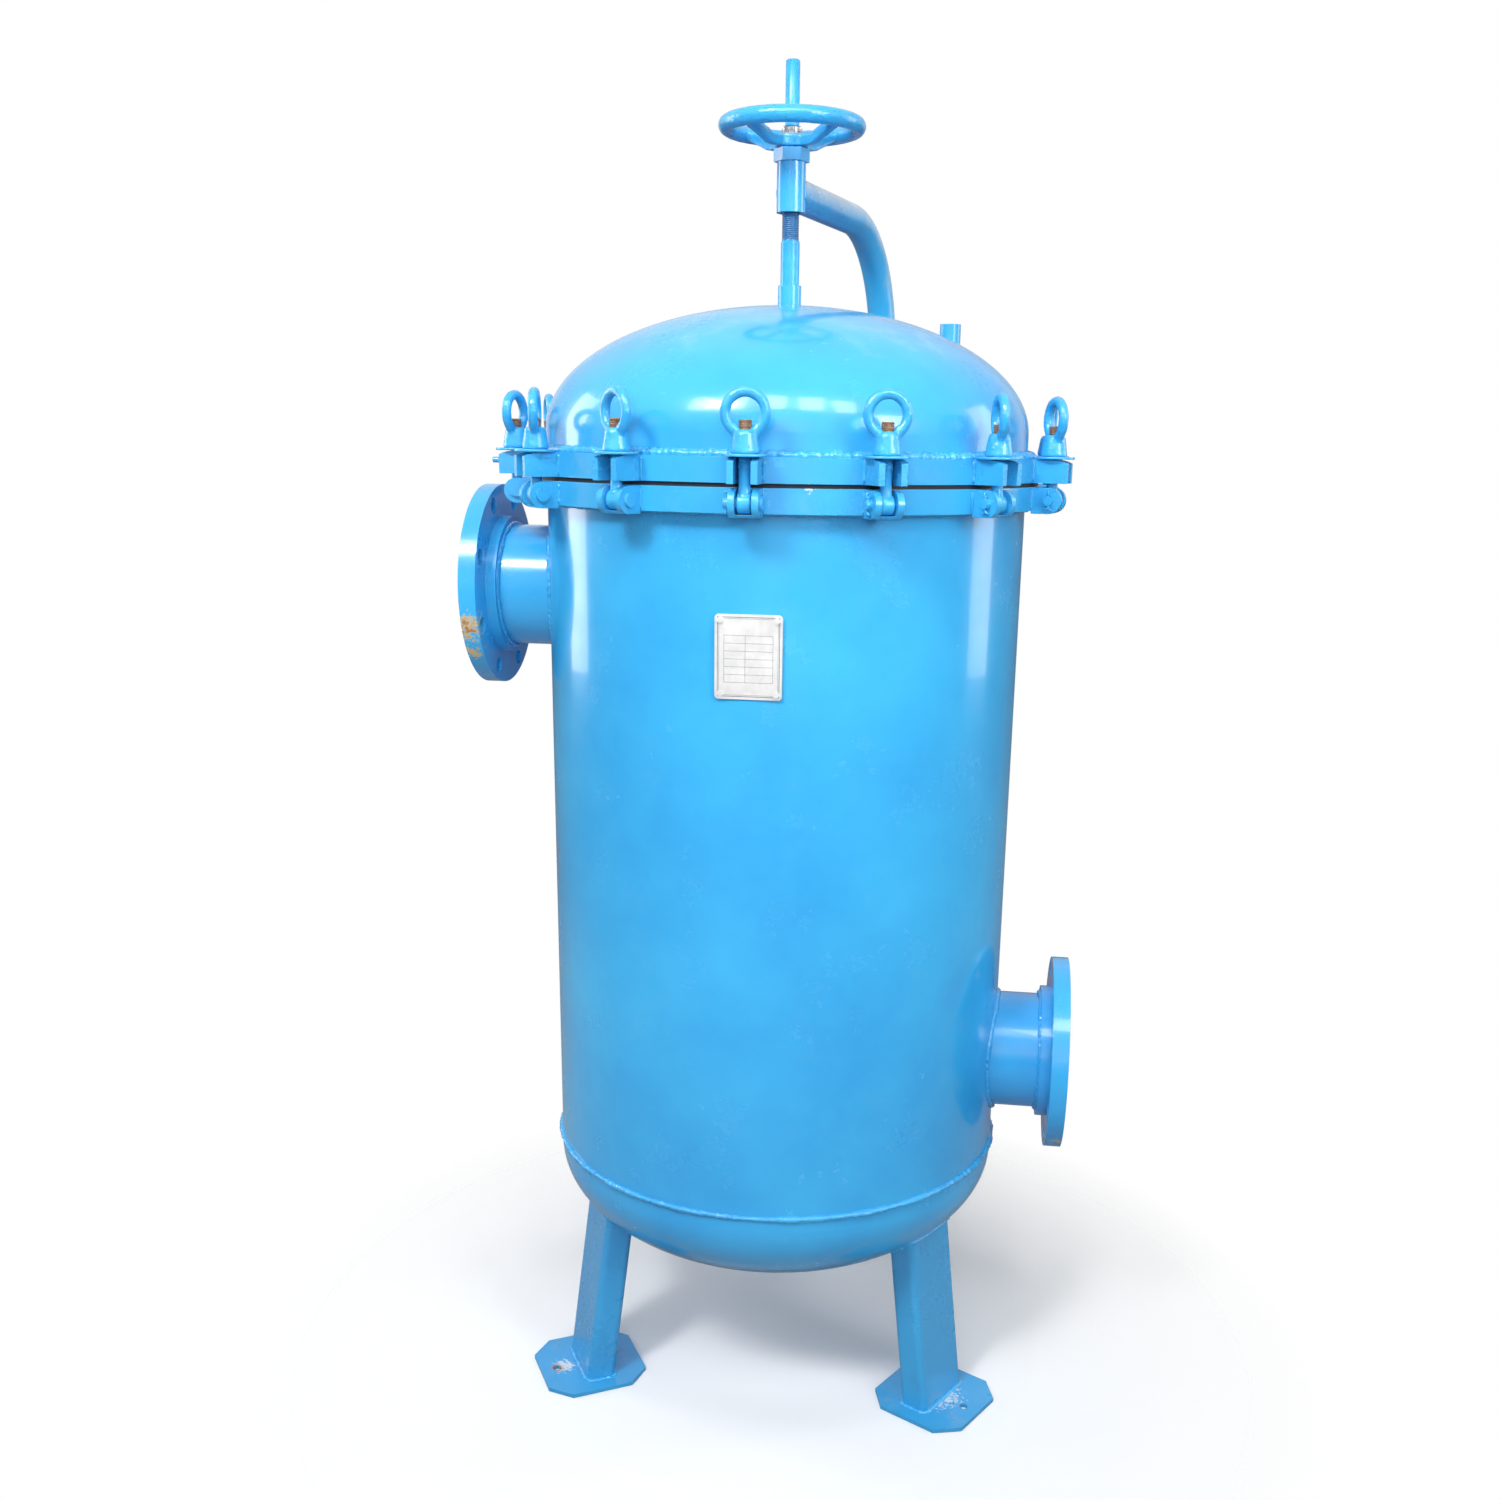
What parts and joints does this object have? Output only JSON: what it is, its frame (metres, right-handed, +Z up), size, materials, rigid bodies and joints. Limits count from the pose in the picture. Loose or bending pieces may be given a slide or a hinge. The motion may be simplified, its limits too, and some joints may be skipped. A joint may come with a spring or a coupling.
{
  "type": "bag filter housing",
  "caption": "Upright multi-bag filter housing on splayed legs, with flanged side inlet and outlet, a domed swing-bolt lid, and a davit with a lifting handwheel.",
  "frame": {"origin": "vessel axis at floor level, under the base plates", "axes": "+Z up along the vessel axis, -Y the front with the nameplate, -X the inlet, +X the outlet"},
  "size_m": [0.86, 0.8427, 1.847],
  "materials": {
    "blue_paint": "gloss enamel",
    "plate_steel": "satin etched",
    "bright_steel": "machined",
    "inner_steel": "mill",
    "gasket_rubber": "matt",
    "bag_felt": "needled felt"
  },
  "bodies": {
    "vessel": {"shell": "blue_paint", "bottom_head": "blue_paint", "vessel_ring": "blue_paint", "ring_gasket": "gasket_rubber", "nozzle_pipes": "blue_paint", "inlet_flange": "blue_paint", "outlet_flange": "blue_paint", "legs": "blue_paint", "base_plates": "blue_paint", "clevises": "blue_paint", "clevis_pins": "blue_paint", "hex_collar": "blue_paint", "davit_sleeve": "blue_paint", "davit_arm": "blue_paint", "davit_bracket": "blue_paint", "drain_coupling": "blue_paint", "drain_plug": "bright_steel", "nameplate": "plate_steel", "nameplate_studs": "plate_steel", "tube_sheet": "inner_steel", "bag_baskets": "inner_steel", "filter_bags": "bag_felt", "hold_down": "inner_steel"},
    "lid": {"lid_dome": "blue_paint", "lid_ring": "blue_paint", "lid_lugs": "blue_paint", "vent_coupling": "blue_paint", "lid_socket": "blue_paint", "lid_guide_rod": "blue_paint", "lift_screw": "blue_paint"},
    "handwheel": {"handwheel": "blue_paint", "lift_nut": "bright_steel"},
    "swing_bolt_01": {"swing_bolt_01": "blue_paint"},
    "eye_nut_01": {"eye_nut_01": "blue_paint"},
    "swing_bolt_02": {"swing_bolt_02": "blue_paint"},
    "eye_nut_02": {"eye_nut_02": "blue_paint"},
    "swing_bolt_03": {"swing_bolt_03": "blue_paint"},
    "eye_nut_03": {"eye_nut_03": "blue_paint"},
    "swing_bolt_04": {"swing_bolt_04": "blue_paint"},
    "eye_nut_04": {"eye_nut_04": "blue_paint"},
    "swing_bolt_05": {"swing_bolt_05": "blue_paint"},
    "eye_nut_05": {"eye_nut_05": "blue_paint"},
    "swing_bolt_06": {"swing_bolt_06": "blue_paint"},
    "eye_nut_06": {"eye_nut_06": "blue_paint"},
    "swing_bolt_07": {"swing_bolt_07": "blue_paint"},
    "eye_nut_07": {"eye_nut_07": "blue_paint"},
    "swing_bolt_08": {"swing_bolt_08": "blue_paint"},
    "eye_nut_08": {"eye_nut_08": "blue_paint"},
    "swing_bolt_09": {"swing_bolt_09": "blue_paint"},
    "eye_nut_09": {"eye_nut_09": "blue_paint"},
    "swing_bolt_10": {"swing_bolt_10": "blue_paint"},
    "eye_nut_10": {"eye_nut_10": "blue_paint"},
    "swing_bolt_11": {"swing_bolt_11": "blue_paint"},
    "eye_nut_11": {"eye_nut_11": "blue_paint"},
    "swing_bolt_12": {"swing_bolt_12": "blue_paint"},
    "eye_nut_12": {"eye_nut_12": "blue_paint"},
    "swing_bolt_13": {"swing_bolt_13": "blue_paint"},
    "eye_nut_13": {"eye_nut_13": "blue_paint"},
    "swing_bolt_14": {"swing_bolt_14": "blue_paint"},
    "eye_nut_14": {"eye_nut_14": "blue_paint"}
  },
  "joints": [
    {"name": "handwheel_spin", "type": "hinge", "parent": "vessel", "child": "handwheel", "pos_m": [0, 0, 1.768], "axis": [0, 0, 1], "range_deg": [-1950, 0]},
    {"name": "lid_lift", "type": "slide", "parent": "vessel", "child": "lid", "axis": [0, 0, 1], "range_m": [0, 0.027]},
    {"name": "swing_01", "type": "hinge", "parent": "vessel", "child": "swing_bolt_01", "pos_m": [0, -0.368, 1.303], "axis": [1, 0, 0], "range_deg": [0, 110]},
    {"name": "nut_travel_01", "type": "slide", "parent": "swing_bolt_01", "child": "eye_nut_01", "axis": [0, 0, 1], "range_m": [0, 0.0275]},
    {"name": "swing_02", "type": "hinge", "parent": "vessel", "child": "swing_bolt_02", "pos_m": [0.15967, -0.33156, 1.303], "axis": [0.901, 0.4339, 0], "range_deg": [0, 110]},
    {"name": "nut_travel_02", "type": "slide", "parent": "swing_bolt_02", "child": "eye_nut_02", "axis": [0, 0, 1], "range_m": [0, 0.0275]},
    {"name": "swing_03", "type": "hinge", "parent": "vessel", "child": "swing_bolt_03", "pos_m": [0.28771, -0.22944, 1.303], "axis": [0.6235, 0.7818, 0], "range_deg": [0, 110]},
    {"name": "nut_travel_03", "type": "slide", "parent": "swing_bolt_03", "child": "eye_nut_03", "axis": [0, 0, 1], "range_m": [0, 0.0275]},
    {"name": "swing_04", "type": "hinge", "parent": "vessel", "child": "swing_bolt_04", "pos_m": [0.35877, -0.08189, 1.303], "axis": [0.2225, 0.9749, 0], "range_deg": [0, 110]},
    {"name": "nut_travel_04", "type": "slide", "parent": "swing_bolt_04", "child": "eye_nut_04", "axis": [0, 0, 1], "range_m": [0, 0.0275]},
    {"name": "swing_05", "type": "hinge", "parent": "vessel", "child": "swing_bolt_05", "pos_m": [0.35877, 0.08189, 1.303], "axis": [-0.2225, 0.9749, 0], "range_deg": [0, 110]},
    {"name": "nut_travel_05", "type": "slide", "parent": "swing_bolt_05", "child": "eye_nut_05", "axis": [0, 0, 1], "range_m": [0, 0.0275]},
    {"name": "swing_06", "type": "hinge", "parent": "vessel", "child": "swing_bolt_06", "pos_m": [0.28771, 0.22944, 1.303], "axis": [-0.6235, 0.7818, 0], "range_deg": [0, 110]},
    {"name": "nut_travel_06", "type": "slide", "parent": "swing_bolt_06", "child": "eye_nut_06", "axis": [0, 0, 1], "range_m": [0, 0.0275]},
    {"name": "swing_07", "type": "hinge", "parent": "vessel", "child": "swing_bolt_07", "pos_m": [0.15967, 0.33156, 1.303], "axis": [-0.901, 0.4339, 0], "range_deg": [0, 110]},
    {"name": "nut_travel_07", "type": "slide", "parent": "swing_bolt_07", "child": "eye_nut_07", "axis": [0, 0, 1], "range_m": [0, 0.0275]},
    {"name": "swing_08", "type": "hinge", "parent": "vessel", "child": "swing_bolt_08", "pos_m": [0, 0.368, 1.303], "axis": [-1, 0, 0], "range_deg": [0, 110]},
    {"name": "nut_travel_08", "type": "slide", "parent": "swing_bolt_08", "child": "eye_nut_08", "axis": [0, 0, 1], "range_m": [0, 0.0275]},
    {"name": "swing_09", "type": "hinge", "parent": "vessel", "child": "swing_bolt_09", "pos_m": [-0.15967, 0.33156, 1.303], "axis": [-0.901, -0.4339, 0], "range_deg": [0, 110]},
    {"name": "nut_travel_09", "type": "slide", "parent": "swing_bolt_09", "child": "eye_nut_09", "axis": [0, 0, 1], "range_m": [0, 0.0275]},
    {"name": "swing_10", "type": "hinge", "parent": "vessel", "child": "swing_bolt_10", "pos_m": [-0.28771, 0.22944, 1.303], "axis": [-0.6235, -0.7818, 0], "range_deg": [0, 110]},
    {"name": "nut_travel_10", "type": "slide", "parent": "swing_bolt_10", "child": "eye_nut_10", "axis": [0, 0, 1], "range_m": [0, 0.0275]},
    {"name": "swing_11", "type": "hinge", "parent": "vessel", "child": "swing_bolt_11", "pos_m": [-0.35877, 0.08189, 1.303], "axis": [-0.2225, -0.9749, 0], "range_deg": [0, 75]},
    {"name": "nut_travel_11", "type": "slide", "parent": "swing_bolt_11", "child": "eye_nut_11", "axis": [0, 0, 1], "range_m": [0, 0.0275]},
    {"name": "swing_12", "type": "hinge", "parent": "vessel", "child": "swing_bolt_12", "pos_m": [-0.35877, -0.08189, 1.303], "axis": [0.2225, -0.9749, 0], "range_deg": [0, 75]},
    {"name": "nut_travel_12", "type": "slide", "parent": "swing_bolt_12", "child": "eye_nut_12", "axis": [0, 0, 1], "range_m": [0, 0.0275]},
    {"name": "swing_13", "type": "hinge", "parent": "vessel", "child": "swing_bolt_13", "pos_m": [-0.28771, -0.22944, 1.303], "axis": [0.6235, -0.7818, 0], "range_deg": [0, 110]},
    {"name": "nut_travel_13", "type": "slide", "parent": "swing_bolt_13", "child": "eye_nut_13", "axis": [0, 0, 1], "range_m": [0, 0.0275]},
    {"name": "swing_14", "type": "hinge", "parent": "vessel", "child": "swing_bolt_14", "pos_m": [-0.15967, -0.33156, 1.303], "axis": [0.901, -0.4339, 0], "range_deg": [0, 110]},
    {"name": "nut_travel_14", "type": "slide", "parent": "swing_bolt_14", "child": "eye_nut_14", "axis": [0, 0, 1], "range_m": [0, 0.0275]}
  ],
  "couplings": [
    {"joint": "handwheel_spin", "follows": "lid_lift", "rad_per_m": -1256.6},
    {"joint": "nut_travel_01", "follows": "lid_lift", "ratio": 1},
    {"joint": "nut_travel_02", "follows": "lid_lift", "ratio": 1},
    {"joint": "nut_travel_03", "follows": "lid_lift", "ratio": 1},
    {"joint": "nut_travel_04", "follows": "lid_lift", "ratio": 1},
    {"joint": "nut_travel_05", "follows": "lid_lift", "ratio": 1},
    {"joint": "nut_travel_06", "follows": "lid_lift", "ratio": 1},
    {"joint": "nut_travel_07", "follows": "lid_lift", "ratio": 1},
    {"joint": "nut_travel_08", "follows": "lid_lift", "ratio": 1},
    {"joint": "nut_travel_09", "follows": "lid_lift", "ratio": 1},
    {"joint": "nut_travel_10", "follows": "lid_lift", "ratio": 1},
    {"joint": "nut_travel_11", "follows": "lid_lift", "ratio": 1},
    {"joint": "nut_travel_12", "follows": "lid_lift", "ratio": 1},
    {"joint": "nut_travel_13", "follows": "lid_lift", "ratio": 1},
    {"joint": "nut_travel_14", "follows": "lid_lift", "ratio": 1}
  ]
}
